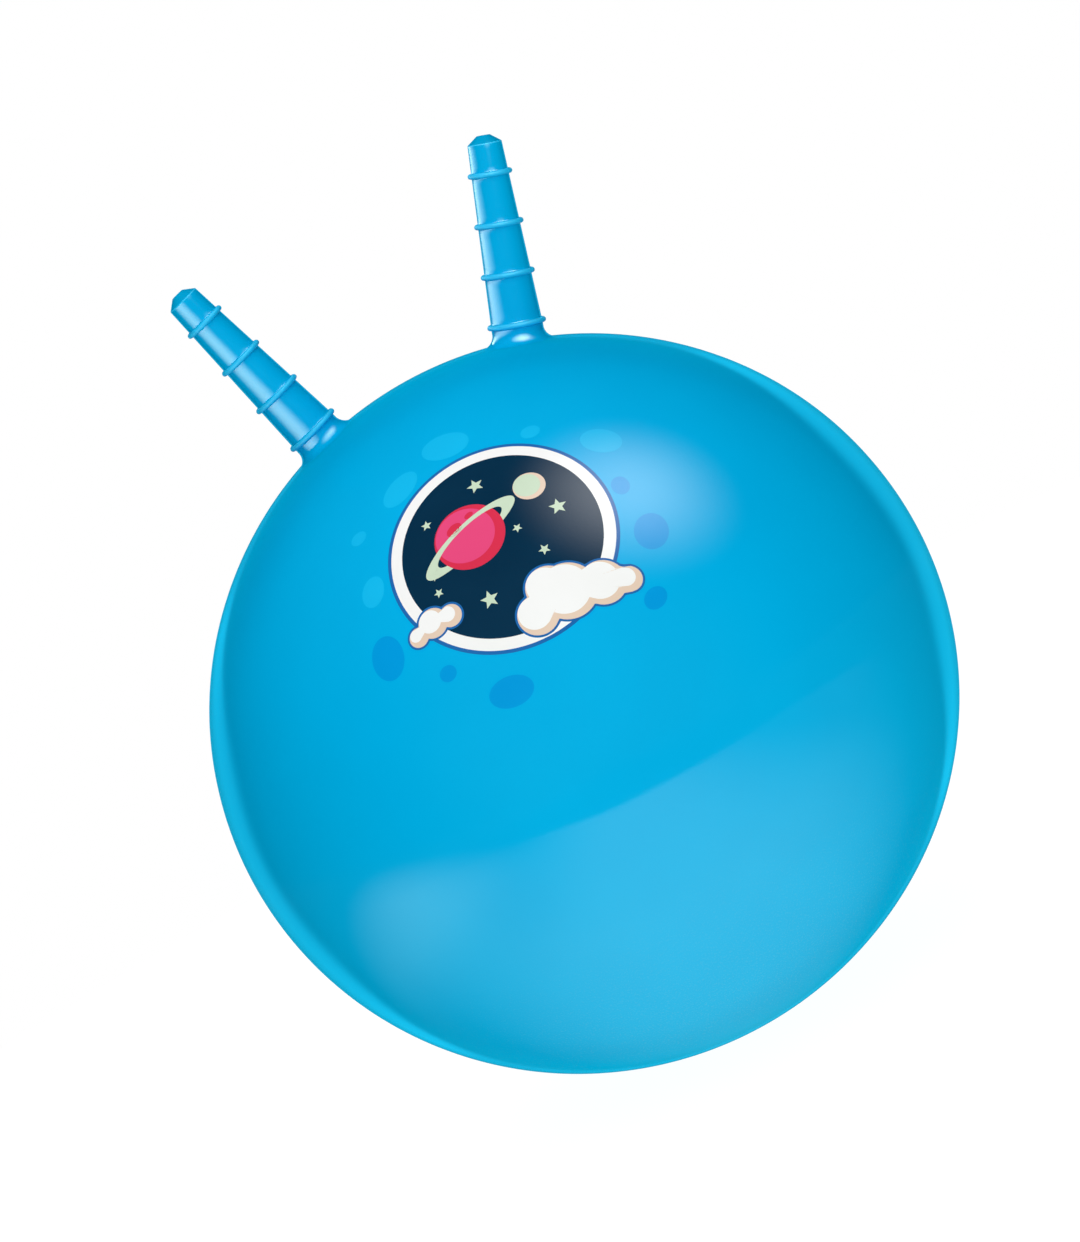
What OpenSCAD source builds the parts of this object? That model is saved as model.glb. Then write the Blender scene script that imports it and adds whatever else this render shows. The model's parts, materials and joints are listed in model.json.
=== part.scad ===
// Hopper ball: a blown-up ball with two ribbed horns to hold on to, a valve and its plug.
// The origin is on the floor under the middle of the ball. +Z is up and the print faces -Y.
// The horns lean out to either side, and the valve is at the back, at mid height.

/* [Ball] */
// Width of the blown-up ball
ball_d = 450; // [400:1:520]
// Height of the blown-up ball, before the floor flattens it
ball_h = 440; // [390:1:510]
// Thickness of the skin of the ball
skin_t = 1.4; // [1:0.1:2.4]
// Width of the flat patch that the ball rests on
foot_d = 70; // [50:1:100]

/* [Horns] */
// Angle between a horn and the upright
horn_splay = 17.2; // [12:0.1:24]
// Height of the tip above the ball, along the horn
horn_reach = 123.2; // [110:0.1:150]
// Width of the grip where it leaves the ball
grip_root_d = 31.7; // [28:0.1:38]
// Width of the grip below the chamfer of its tip
grip_tip_d = 20.5; // [17:0.1:26]
// Width of the flat on the tip
tip_flat_d = 8; // [6:0.1:12]
// Height of the chamfer round the tip
tip_chamfer_h = 4.7; // [4:0.1:9]
// Wall of the hollow horn
horn_wall = 2.4; // [1.6:0.1:3.4]
// Radius of the fillet between a horn and the ball
root_fillet_r = 8; // [5:0.1:11]

/* [Grip ribs] */
// Number of ribs on a grip
rib_count = 4; // [2:1:4]
// Distance from the tip to the middle of the first rib
rib_start = 22.8; // [18:0.1:30]
// Distance from one rib to the next
rib_pitch = 30; // [24:0.1:31]
// Thickness of a rib along the horn
rib_w = 3.2; // [2.4:0.1:5]
// Height of a rib above the grip
rib_proud = 2.3; // [1.2:0.1:2.8]

/* [Valve] */
// Width of the valve seat, as wide as the hole in the skin that holds it
seat_d = 38; // [32:0.5:46]
// Thickness of the valve seat at its middle
seat_t = 6; // [5:0.1:8]
// Thickness of the valve seat at its edge
seat_rim_t = 2.6; // [2:0.1:3.4]
// Width of the dish round the head of the plug, where it meets the ball
dish_d = 28; // [24:0.5:31]
// Depth of the dish
dish_depth = 2.8; // [2.2:0.1:3.6]
// Width of the nozzle inside the ball
nozzle_d = 15; // [12:0.1:18]
// Length of the nozzle behind the seat
nozzle_len = 12; // [8:0.5:18]
// Width of the air hole
bore_d = 8; // [6:0.1:10]

/* [Plug] */
// Width of the head of the plug
head_d = 18; // [14:0.1:21]
// Thickness of the head of the plug
head_t = 2.2; // [1.6:0.1:2.8]
// Length of the stem below the head
stem_len = 17; // [12:0.5:22]
// Number of sealing ribs on the stem
seal_count = 3; // [2:1:4]
// Length of one sealing rib
seal_len = 2.6; // [1.6:0.1:3]
// Height of a sealing rib above the stem
seal_proud = 0.6; // [0.3:0.1:0.9]
// Depth of the hollow in the stem, which lets it squeeze into the air hole
hollow_depth = 11; // [8:0.5:12]
// Width of that hollow
hollow_d = 3.2; // [2:0.1:3.6]
// Clearance between the sealing ribs and the air hole
stem_clear = 0.15; // [0.1:0.05:0.3]
// Clearance under the head of the plug
head_clear = 0.2; // [0.1:0.05:0.4]
// Clearance round the head of the plug, at the floor of the dish
head_play = 0.5; // [0.3:0.1:1]

/* [Hidden] */
$fn = 96;
// Sides of the large ball, so that its facets lie close to the true curve
ball_sides = 240;

// Gap between the root of a horn and the ball, where the soft skin folds
root_gap = 0.3;
// Ball skin that belongs to a horn, measured out from the foot of its fillet
root_rim = 2;
// How far the fillet sinks into the grip and the ball, so that it crosses both cleanly
fillet_bite = 0.1;
// Width of the neck that joins a rib to the grip, as a share of the thickness of the rib
rib_neck_share = 0.9;
// How far a cut runs past the face that it opens
overrun = 1;
// Chamfer round the head of the plug
head_chamfer = 0.5;
// Chamfer at the end of the stem
stem_chamfer = 1.2;

// The floor cuts a flat cap off the ball, so its middle is a little below half its height
ball_r = ball_d / 2;
centre_z = ball_h / 2 * sqrt(1 - pow(foot_d / ball_d, 2));

// Distance from the middle of the ball to its surface, along a horn
root_z = 1 / sqrt(pow(sin(horn_splay) * 2 / ball_d, 2) + pow(cos(horn_splay) * 2 / ball_h, 2));

// Places along a horn, from the surface of the ball
chamfer_z = horn_reach - tip_chamfer_h;
root_depth = root_fillet_r;
function grip_r(z) = (grip_root_d + (grip_tip_d - grip_root_d) * z / chamfer_z) / 2;
function rib_z(i) = horn_reach - rib_start - i * rib_pitch;

// The fillet is tangent to the grip and to a ball of radius root_z, less the bite
fillet_x = grip_root_d / 2 + root_fillet_r;
fillet_z = sqrt(pow(root_z + root_fillet_r, 2) - pow(fillet_x, 2)) - root_z;
fillet_foot_r = fillet_x * root_z / (root_z + root_fillet_r);
root_r = fillet_foot_r + root_rim;

// Places along the valve, from the middle of the ball
dish_z = ball_r - dish_depth;
seat_z = ball_r - seat_t;
nozzle_z = seat_z - nozzle_len;
dish_floor_d = head_d + 2 * head_play;
head_z = dish_z + head_clear;
seal_d = bore_d - 2 * stem_clear;
stem_d = seal_d - 2 * seal_proud;
seal_pitch = (stem_len - stem_chamfer - seal_len) / seal_count;

// Frames: one at the root of a horn, with +Z along the horn, and one along the valve
module on_horn(side) {
    translate([0, 0, centre_z])
        rotate([0, side * horn_splay, 0])
            translate([0, 0, root_z])
                children();
}

module on_valve() {
    translate([0, 0, centre_z])
        rotate([-90, 0, 0])
            children();
}

// The ball as a solid, smaller by inset all round
module spheroid(inset) {
    translate([0, 0, centre_z])
        scale([1, 1, (ball_h - 2 * inset) / (ball_d - 2 * inset)])
            sphere(d = ball_d - 2 * inset, $fn = ball_sides);
}

// Everything below a level
module below(z) {
    translate([0, 0, z - ball_h])
        cylinder(h = ball_h, d = ball_d);
}

// The air inside the ball
module ball_air() {
    difference() {
        spheroid(skin_t);
        below(skin_t);
    }
}

// The ball, open under the horns and at the valve, and flat where it rests
module ball_skin() {
    color("deepskyblue")
        difference() {
            spheroid(0);
            below(0);
            ball_air();
            for (side = [-1, 1])
                on_horn(side)
                    sphere(r = root_r + root_gap);
            on_valve()
                translate([0, 0, seat_z])
                    cylinder(h = seat_t + overrun, d = seat_d);
        }
}

// The tapered grip with its chamfered tip, as a solid that is thinner by wall
module grip(wall) {
    end_z = horn_reach - wall;
    rotate_extrude()
        polygon([
            [0, -root_depth],
            [grip_r(-root_depth) - wall, -root_depth],
            [grip_r(chamfer_z) - wall, chamfer_z - wall / 2],
            [(tip_flat_d - wall) / 2, end_z],
            [0, end_z]
        ]);
}

// The flared foot of a horn, hollowed out at radius fillet_r round the middle of the fillet
module root_flare(fillet_r) {
    rotate_extrude()
        difference() {
            translate([0, -root_depth])
                square([fillet_foot_r, root_depth + fillet_z - fillet_bite]);
            translate([fillet_x - fillet_bite, fillet_z - fillet_bite])
                circle(r = fillet_r);
        }
}

// One rib with a round edge, on a neck that starts in the wall of the grip at height z
module rib(z) {
    wall_r = grip_r(z) - horn_wall;
    edge_r = grip_r(z) + rib_proud - rib_w / 2;
    neck_w = rib_w * rib_neck_share;
    rotate_extrude() {
        translate([edge_r, z])
            circle(d = rib_w);
        translate([wall_r, z - neck_w / 2])
            square([edge_r - wall_r, neck_w]);
    }
}

// A hollow horn: ribbed grip, fillet and the round of ball skin at its root
module horn(side) {
    color("deepskyblue")
        difference() {
            union() {
                intersection() {
                    spheroid(0);
                    on_horn(side)
                        sphere(r = root_r);
                }
                on_horn(side) {
                    root_flare(root_fillet_r);
                    grip(0);
                    for (i = [0:rib_count - 1])
                        rib(rib_z(i));
                }
            }
            spheroid(skin_t);
            on_horn(side) {
                root_flare(root_fillet_r + horn_wall);
                grip(horn_wall);
            }
        }
}

module left_horn() {
    horn(-1);
}

module right_horn() {
    horn(1);
}

// The thick disc that closes the hole in the skin, with a nozzle inside and a dish outside
module valve_seat() {
    color("dodgerblue")
        difference() {
            intersection() {
                spheroid(0);
                on_valve()
                    rotate_extrude()
                        polygon([
                            [0, nozzle_z],
                            [nozzle_d / 2, nozzle_z],
                            [nozzle_d / 2, seat_z],
                            [seat_d / 2, ball_r - seat_rim_t],
                            [seat_d / 2, ball_r + overrun],
                            [0, ball_r + overrun]
                        ]);
            }
            on_valve() {
                rotate_extrude()
                    polygon([
                        [0, dish_z],
                        [dish_floor_d / 2, dish_z],
                        [dish_d / 2, ball_r],
                        [dish_d / 2, ball_r + overrun],
                        [0, ball_r + overrun]
                    ]);
                translate([0, 0, nozzle_z - overrun])
                    cylinder(h = nozzle_len + seat_t, d = bore_d);
            }
        }
}

// The flat head of the stopper, with its rim chamfered
module plug_head() {
    rotate_extrude()
        polygon([
            [0, 0],
            [head_d / 2, 0],
            [head_d / 2, head_t - head_chamfer],
            [head_d / 2 - head_chamfer, head_t],
            [0, head_t]
        ]);
}

// The stem below the head, chamfered at its end, with barbs that seal in the air hole
module plug_stem() {
    translate([0, 0, -stem_len]) {
        cylinder(h = stem_chamfer, d1 = stem_d - 2 * stem_chamfer, d2 = stem_d);
        translate([0, 0, stem_chamfer])
            cylinder(h = stem_len - stem_chamfer + head_t / 2, d = stem_d);
        for (i = [0:seal_count - 1])
            translate([0, 0, stem_chamfer + i * seal_pitch])
                cylinder(h = seal_len, d1 = stem_d, d2 = seal_d);
    }
}

// The stopper that closes the air hole, with its head in the dish
module valve_plug() {
    color("aliceblue")
        on_valve()
            translate([0, 0, head_z])
                difference() {
                    union() {
                        plug_head();
                        plug_stem();
                    }
                    translate([0, 0, -stem_len - overrun])
                        cylinder(h = hollow_depth + overrun, d = hollow_d);
                }
}

ball_skin();
left_horn();
right_horn();
valve_seat();
valve_plug();
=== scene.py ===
"""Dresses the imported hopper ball: skin, horns, valve, plug and print, in a plain white studio.

All sizes are in metres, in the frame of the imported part. The origin is on the floor under the
middle of the ball, +Z is up, the print faces -Y and the valve is at the back. Only the flat sheet of
the print is laid out in millimetres.
"""

import json
import logging
import math
from collections.abc import Callable, Sequence
from dataclasses import dataclass, field
from enum import Enum
from itertools import pairwise

import bpy
from mathutils import Matrix, Vector


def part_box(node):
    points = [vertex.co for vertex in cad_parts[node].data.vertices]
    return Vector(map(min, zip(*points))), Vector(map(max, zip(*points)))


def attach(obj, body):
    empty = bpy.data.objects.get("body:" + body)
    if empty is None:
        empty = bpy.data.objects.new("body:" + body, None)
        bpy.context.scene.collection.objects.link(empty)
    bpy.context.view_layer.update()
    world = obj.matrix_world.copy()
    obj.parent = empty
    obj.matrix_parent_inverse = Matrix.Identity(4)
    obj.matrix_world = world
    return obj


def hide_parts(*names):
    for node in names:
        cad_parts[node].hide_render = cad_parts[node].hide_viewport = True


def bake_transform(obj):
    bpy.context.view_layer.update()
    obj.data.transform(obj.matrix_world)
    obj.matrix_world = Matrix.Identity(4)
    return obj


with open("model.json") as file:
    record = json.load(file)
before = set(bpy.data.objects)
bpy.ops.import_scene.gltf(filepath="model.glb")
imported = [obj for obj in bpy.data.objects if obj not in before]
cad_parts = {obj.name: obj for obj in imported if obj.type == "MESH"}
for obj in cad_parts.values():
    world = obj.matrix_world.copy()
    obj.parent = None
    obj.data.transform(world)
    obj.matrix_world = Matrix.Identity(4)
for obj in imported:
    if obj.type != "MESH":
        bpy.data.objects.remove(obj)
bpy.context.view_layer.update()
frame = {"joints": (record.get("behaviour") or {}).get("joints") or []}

log = logging.getLogger("hopper_ball")

MM = 0.001

Point = tuple[float, float]
Range = tuple[float, float]
Triple = tuple[float, float, float]
Colour = Triple
Socket = bpy.types.NodeSocket

BLACK: Colour = (0.0, 0.0, 0.0)
WHITE: Colour = (1.0, 1.0, 1.0)


# Outlines


@dataclass(frozen=True)
class Corner:
    """A corner of an outline, as a radius and a height, and the radius that rounds it."""

    r: float
    z: float
    rounding: float = 0.0


def arc(centre: Point, radius: float, start: float, end: float, steps: int) -> list[Corner]:
    """Points along an arc.

    Args:
        centre: Middle of the arc, as a radius and a height.
        radius: Radius of the arc.
        start: Direction of the first point, in degrees.
        end: Direction of the last point, in degrees.
        steps: Number of straight pieces that the arc is made of.

    Returns:
        The points, as corners that stay sharp.
    """
    turns = [math.radians(start + (end - start) * k / steps) for k in range(steps + 1)]
    return [Corner(centre[0] + radius * math.cos(t), centre[1] + radius * math.sin(t)) for t in turns]


def rounded(corners: Sequence[Corner], steps: int = 4, most: float = 0.49) -> list[Point]:
    """Rounds the corners of an open outline.

    Args:
        corners: The outline's corners, in order.
        steps: Number of straight pieces in each rounding.
        most: The largest share of a side that one rounding takes up.

    Returns:
        The points of the rounded outline.
    """
    points = [(corners[0].r, corners[0].z)]
    for before, here, after in zip(corners, corners[1:], corners[2:]):
        if here.rounding <= 0:
            points.append((here.r, here.z))
            continue
        corner = Vector((here.r, here.z))
        back = Vector((before.r, before.z)) - corner
        ahead = Vector((after.r, after.z)) - corner
        half = back.angle(ahead) / 2
        reach = min(here.rounding / math.tan(half), most * min(back.length, ahead.length))
        start = corner + back.normalized() * reach
        end = corner + ahead.normalized() * reach
        for k in range(steps + 1):
            t = k / steps
            points.append(tuple(start * (1 - t) ** 2 + corner * 2 * t * (1 - t) + end * t**2))
    points.append((corners[-1].r, corners[-1].z))
    return points


def split_long(points: Sequence[Point], longest: float) -> list[Point]:
    """Divides the long pieces of an outline, so that the turned wall can bend.

    Args:
        points: The outline.
        longest: Length that no piece of the result is over.

    Returns:
        The outline with the points in between added.
    """
    result = [points[0]]
    for (r0, z0), (r1, z1) in pairwise(points):
        parts = max(1, math.ceil(math.hypot(r1 - r0, z1 - z0) / longest))
        for k in range(1, parts + 1):
            result.append((r0 + (r1 - r0) * k / parts, z0 + (z1 - z0) * k / parts))
    return result


def smooth_step(low: float, high: float, value: float) -> float:
    """Goes smoothly from 0 at low to 1 at high."""
    t = min(max((value - low) / (high - low), 0.0), 1.0)
    return t * t * (3 - 2 * t)


def soft_max(value: float, floor: float, rounding: float) -> float:
    """The larger of value and floor, with the corner between them rounded."""
    overlap = max(rounding - abs(value - floor), 0.0) / rounding
    return max(value, floor) + overlap * overlap * rounding / 4


# The modelling bench

SEED_SIZE = 2 * MM
WELD = 0.002 * MM


def deselect_all() -> None:
    """Leaves edit mode and deselects every object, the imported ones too."""
    if bpy.context.object and bpy.context.object.mode != "OBJECT":
        bpy.ops.object.mode_set(mode="OBJECT")
    bpy.ops.object.select_all(action="DESELECT")


def pick(piece: bpy.types.Object) -> None:
    """Selects one object and makes it active."""
    deselect_all()
    piece.select_set(True)
    bpy.context.view_layer.objects.active = piece


def turned(name: str, outline: Sequence[Point], steps: int, sweep: float = math.tau) -> bpy.types.Object:
    """Turns an outline round the Z axis, as on a lathe.

    Args:
        name: Name of the new piece.
        outline: Radius and height of each point of the outline.
        steps: Number of sides all the way round.
        sweep: Angle that the outline is turned through, in radians.

    Returns:
        The new piece, with its doubles merged and its normals recalculated.
    """
    deselect_all()
    bpy.ops.mesh.primitive_plane_add(size=SEED_SIZE, location=(0.0, 0.0, 0.0))
    piece = bpy.context.object
    piece.name = piece.data.name = name
    bpy.ops.object.mode_set(mode="EDIT")
    bpy.ops.mesh.select_all(action="SELECT")
    bpy.ops.mesh.merge(type="CENTER")
    bpy.ops.transform.translate(value=(outline[0][0], 0.0, outline[0][1]))
    for (r0, z0), (r1, z1) in pairwise(outline):
        bpy.ops.mesh.extrude_vertices_move(TRANSFORM_OT_translate={"value": (r1 - r0, 0.0, z1 - z0)})
    bpy.ops.mesh.select_all(action="SELECT")
    bpy.ops.mesh.spin(steps=steps, angle=sweep, center=(0.0, 0.0, 0.0), axis=(0.0, 0.0, 1.0))
    bpy.ops.mesh.select_all(action="SELECT")
    bpy.ops.mesh.remove_doubles(threshold=WELD)
    bpy.ops.mesh.normals_make_consistent(inside=False)
    bpy.ops.object.mode_set(mode="OBJECT")
    return piece


def reshape(piece: bpy.types.Object, move: Callable[[Vector], Vector]) -> None:
    """Moves each vertex of a piece to where a rule puts it.

    Args:
        piece: The piece to shape.
        move: Gives the new place of a point.
    """
    for vertex in piece.data.vertices:
        vertex.co = move(vertex.co.copy())
    piece.data.update()


def smoothed(piece: bpy.types.Object, sharp_degrees: float = 40.0) -> None:
    """Shades a piece smooth, apart from its sharp edges.

    Args:
        piece: The piece to shade.
        sharp_degrees: Edges that turn by more than this stay sharp.
    """
    pick(piece)
    bpy.ops.object.shade_smooth_by_angle(angle=math.radians(sharp_degrees))


def cut_by(piece: bpy.types.Object, cutter: bpy.types.Object) -> None:
    """Cuts one solid out of another and throws the cutter away.

    Args:
        piece: The solid that keeps the rest.
        cutter: The solid that is cut out.
    """
    pick(piece)
    cut = piece.modifiers.new("opening", "BOOLEAN")
    cut.operation = "DIFFERENCE"
    cut.solver = "EXACT"
    cut.object = cutter
    bpy.ops.object.modifier_apply(modifier=cut.name)
    bpy.data.objects.remove(cutter)


def dress(piece: bpy.types.Object, material: bpy.types.Material) -> None:
    """Gives a piece its one material."""
    piece.data.materials.clear()
    piece.data.materials.append(material)


# Finishes


class Graph:
    """A node tree that is built by short calls."""

    def __init__(self, tree: bpy.types.NodeTree) -> None:
        """Keeps the tree that the calls add to."""
        self.tree = tree

    def feed(self, socket: Socket, value: object) -> None:
        """Links a socket to an input, or sets the input's own value.

        Args:
            socket: The input.
            value: A socket to link from, or a plain value.
        """
        if isinstance(value, Socket):
            self.tree.links.new(value, socket)
        else:
            socket.default_value = value

    def wire(self, node: bpy.types.Node, **values: object) -> bpy.types.Node:
        """Feeds some inputs of a node by name.

        Args:
            node: The node.
            values: Values or sockets of its inputs, with _ for a space in a name.

        Returns:
            The same node.
        """
        for key, value in values.items():
            self.feed(node.inputs[key.replace("_", " ")], value)
        return node

    def add(self, kind: str, *values: object, **settings: object) -> bpy.types.Node:
        """Adds a node.

        Args:
            kind: The node's type name.
            values: Values or sockets of its first inputs, in order.
            settings: Properties of the node, by name.

        Returns:
            The new node.
        """
        node = self.tree.nodes.new(kind)
        for key, value in settings.items():
            setattr(node, key, value)
        for socket, value in zip(node.inputs, values):
            self.feed(socket, value)
        return node

    def out(self, kind: str, *values: object, **settings: object) -> Socket:
        """Adds a node as add does, and gives its first output."""
        return self.add(kind, *values, **settings).outputs[0]

    def math(self, operation: str, *values: object, clamp: bool = False) -> Socket:
        """Adds a Math node.

        Args:
            operation: The node's operation.
            values: Its values or sockets, in order.
            clamp: Whether the result is kept between 0 and 1.

        Returns:
            The result's socket.
        """
        return self.out("ShaderNodeMath", *values, operation=operation, use_clamp=clamp)

    def measure(self, operation: str, *values: object) -> Socket:
        """Adds a Vector Math node that gives a value, such as a length.

        Args:
            operation: The node's operation.
            values: Its vectors or sockets, in order.

        Returns:
            The value's socket.
        """
        return self.add("ShaderNodeVectorMath", *values, operation=operation).outputs["Value"]

    def ramp(self, value: object, low: float, high: float, start: object = 0.0, end: object = 1.0) -> Socket:
        """Maps a value smoothly from one range to another.

        Args:
            value: The value or socket to map.
            low: Where the result is start.
            high: Where the result is end.
            start: Result at low.
            end: Result at high.

        Returns:
            The result's socket.
        """
        values = (value, low, high, start, end)
        return self.out("ShaderNodeMapRange", *values, interpolation_type="SMOOTHSTEP")

    def mix(self, share: object, first: object, second: object, kind: str = "MIX") -> Socket:
        """Mixes two colours.

        Args:
            share: How much of the second colour shows.
            first: The first colour or socket.
            second: The second colour or socket.
            kind: How the second colour goes over the first, such as ADD.

        Returns:
            The mixed colour's socket.
        """
        node = self.wire(self.add("ShaderNodeMix", data_type="RGBA", blend_type=kind), Factor=share)
        self.feed(node.inputs[6], first)
        self.feed(node.inputs[7], second)
        return node.outputs[2]

    def distance(
        self, place: object, middle: Triple = (0.0, 0.0, 0.0), scale: Triple = (1.0, 1.0, 1.0)
    ) -> Socket:
        """Measures how far a place lies from a point, in stretched space.

        Args:
            place: Socket with the coordinates.
            middle: The point.
            scale: How much each axis counts.

        Returns:
            The distance's socket.
        """
        offset = self.out("ShaderNodeVectorMath", place, middle, operation="SUBTRACT")
        return self.measure("LENGTH", self.out("ShaderNodeVectorMath", offset, scale, operation="MULTIPLY"))

    def noise(self, place: object, scale: object, detail: float, roughness: float = 0.5) -> Socket:
        """Adds a noise texture.

        Args:
            place: Socket with the coordinates.
            scale: Number of waves to the metre.
            detail: Number of finer layers.
            roughness: How strong the finer layers are.

        Returns:
            The socket with its value.
        """
        node = self.add("ShaderNodeTexNoise")
        return self.wire(node, Vector=place, Scale=scale, Detail=detail, Roughness=roughness).outputs[0]

    def group(self, name: str, **inputs: object) -> bpy.types.Node:
        """Places a shared node group.

        Args:
            name: The group's name.
            inputs: Values or sockets of its inputs, with _ for a space in a name.

        Returns:
            The group's node.
        """
        return self.wire(self.add("ShaderNodeGroup", node_tree=bpy.data.node_groups[name]), **inputs)


def rgba(colour: Colour) -> tuple[float, float, float, float]:
    """Adds full opacity to a colour."""
    return (*colour, 1.0)


def new_material(name: str) -> tuple[bpy.types.Material, Graph]:
    """Makes a material with nodes.

    Args:
        name: The material's name.

    Returns:
        The material and the graph of its nodes.
    """
    material = bpy.data.materials.new(name)
    material.use_nodes = True
    return material, Graph(material.node_tree)


def new_group(
    name: str, inputs: Sequence[str], outputs: Sequence[str]
) -> tuple[Graph, bpy.types.Node, bpy.types.Node]:
    """Starts a shared node group that takes a place and some values, and gives some values.

    Args:
        name: The group's name.
        inputs: Names of the values that it takes.
        outputs: Names of the values that it gives.

    Returns:
        The group's graph, the node with its inputs and the node that takes its outputs.
    """
    tree = bpy.data.node_groups.new(name, "ShaderNodeTree")
    tree.interface.new_socket(name="Place", in_out="INPUT", socket_type="NodeSocketVector")
    for way, names in (("INPUT", inputs), ("OUTPUT", outputs)):
        for socket in names:
            tree.interface.new_socket(name=socket, in_out=way, socket_type="NodeSocketFloat")
    graph = Graph(tree)
    return graph, graph.add("NodeGroupInput"), graph.add("NodeGroupOutput")


@dataclass(frozen=True)
class SharedEffects:
    """The effects that more than one finish uses, each built once as a node group.

    A scale is in waves to the metre. A fade gives the values of a noise where an effect starts
    and where it is full.
    """

    MOULDED = "moulded surface"
    HANDLED = "handling wear"

    mottle_fade: Range = (0.3, 0.7)
    speck_scale: float = 900.0
    speck_roughness: float = 0.7
    speck_fade: Range = (0.5, 0.72)
    patch_scale: float = 9.0
    patch_fade: Range = (0.52, 0.7)
    streak_stretch: Triple = (1.0, 1.0, 9.0)
    streak_turn: Triple = (0.5, 0.9, 0.2)
    streak_roughness: float = 0.65
    streak_fade: Range = (0.56, 0.66)

    def build(self) -> None:
        """Builds both groups."""
        self._moulded()
        self._handled()

    def _moulded(self) -> None:
        """Builds the faint mottle and peel that a turning mould leaves in soft plastic."""
        graph, start, end = new_group(self.MOULDED, ("Mottle Scale", "Peel Scale"), ("Mottle", "Peel"))
        given = start.outputs
        mottle = graph.noise(given["Place"], given["Mottle Scale"], detail=3.0)
        peel = graph.noise(given["Place"], given["Peel Scale"], detail=2.0)
        graph.wire(end, Mottle=graph.ramp(mottle, *self.mottle_fade), Peel=peel)

    def _handled(self) -> None:
        """Builds the dust that settles low on the ball and the fine rubs of play."""
        graph, start, end = new_group(self.HANDLED, ("Dust Top", "Rub Scale"), ("Dust", "Rubs"))
        given = start.outputs
        place = given["Place"]
        height = graph.add("ShaderNodeSeparateXYZ", place).outputs["Z"]
        low = graph.ramp(graph.math("DIVIDE", height, given["Dust Top"]), 0.0, 1.0, 1.0, 0.0)
        specks = graph.noise(place, self.speck_scale, detail=3.0, roughness=self.speck_roughness)
        dust = graph.math("MULTIPLY", low, graph.ramp(specks, *self.speck_fade), clamp=True)
        patches = graph.ramp(graph.noise(place, self.patch_scale, detail=2.0), *self.patch_fade)
        stretch = graph.add("ShaderNodeMapping", place)
        along = graph.wire(stretch, Scale=self.streak_stretch, Rotation=self.streak_turn).outputs[0]
        streaks = graph.noise(along, given["Rub Scale"], detail=4.0, roughness=self.streak_roughness)
        rubs = graph.math("MULTIPLY", patches, graph.ramp(streaks, *self.streak_fade), clamp=True)
        graph.wire(end, Dust=dust, Rubs=rubs)


@dataclass(frozen=True)
class Finish:
    """A glossy soft plastic or an ink on it.

    The colours are linear. deep is the colour where the mottle is strongest.
    """

    name: str
    colour: Colour
    deep: Colour
    gloss_roughness: float = 0.07
    rubbed_roughness: float = 0.12
    specular: float = 0.5
    mottle_scale: float = 14.0
    peel_scale: float = 420.0
    peel_height: float = 0.02 * MM
    dust_top: float = 0.16
    dust_share: float = 0.12
    dust_colour: Colour = (0.42, 0.46, 0.46)
    rub_scale: float = 60.0

    def material(self) -> bpy.types.Material:
        """Builds the finish as a material.

        Returns:
            The material, which reads only Object coordinates.
        """
        material, graph = new_material(self.name)
        material.diffuse_color = rgba(self.colour)
        place = graph.add("ShaderNodeTexCoord").outputs["Object"]
        moulded = graph.group(
            SharedEffects.MOULDED, Place=place, Mottle_Scale=self.mottle_scale, Peel_Scale=self.peel_scale
        ).outputs
        handled = graph.group(
            SharedEffects.HANDLED, Place=place, Dust_Top=self.dust_top, Rub_Scale=self.rub_scale
        ).outputs
        body = graph.mix(moulded["Mottle"], rgba(self.colour), rgba(self.deep))
        dust = graph.math("MULTIPLY", handled["Dust"], self.dust_share)
        worn = graph.math("MAXIMUM", handled["Rubs"], dust)
        bump = graph.wire(graph.add("ShaderNodeBump"), Distance=self.peel_height, Height=moulded["Peel"])
        graph.wire(
            material.node_tree.nodes["Principled BSDF"],
            Base_Color=graph.mix(dust, body, rgba(self.dust_colour)),
            Roughness=graph.ramp(worn, 0.0, 1.0, self.gloss_roughness, self.rubbed_roughness),
            Normal=bump.outputs[0],
            Specular_IOR_Level=self.specular,
        )
        return material


def ink(name: str, colour: Colour, deep: Colour) -> Finish:
    """A printed ink, which has a finer peel than the plastic.

    Args:
        name: The ink's name.
        colour: Its colour.
        deep: Its colour where the mottle is strongest.

    Returns:
        The ink's finish.
    """
    return Finish(name, colour, deep, peel_scale=700.0)


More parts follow.
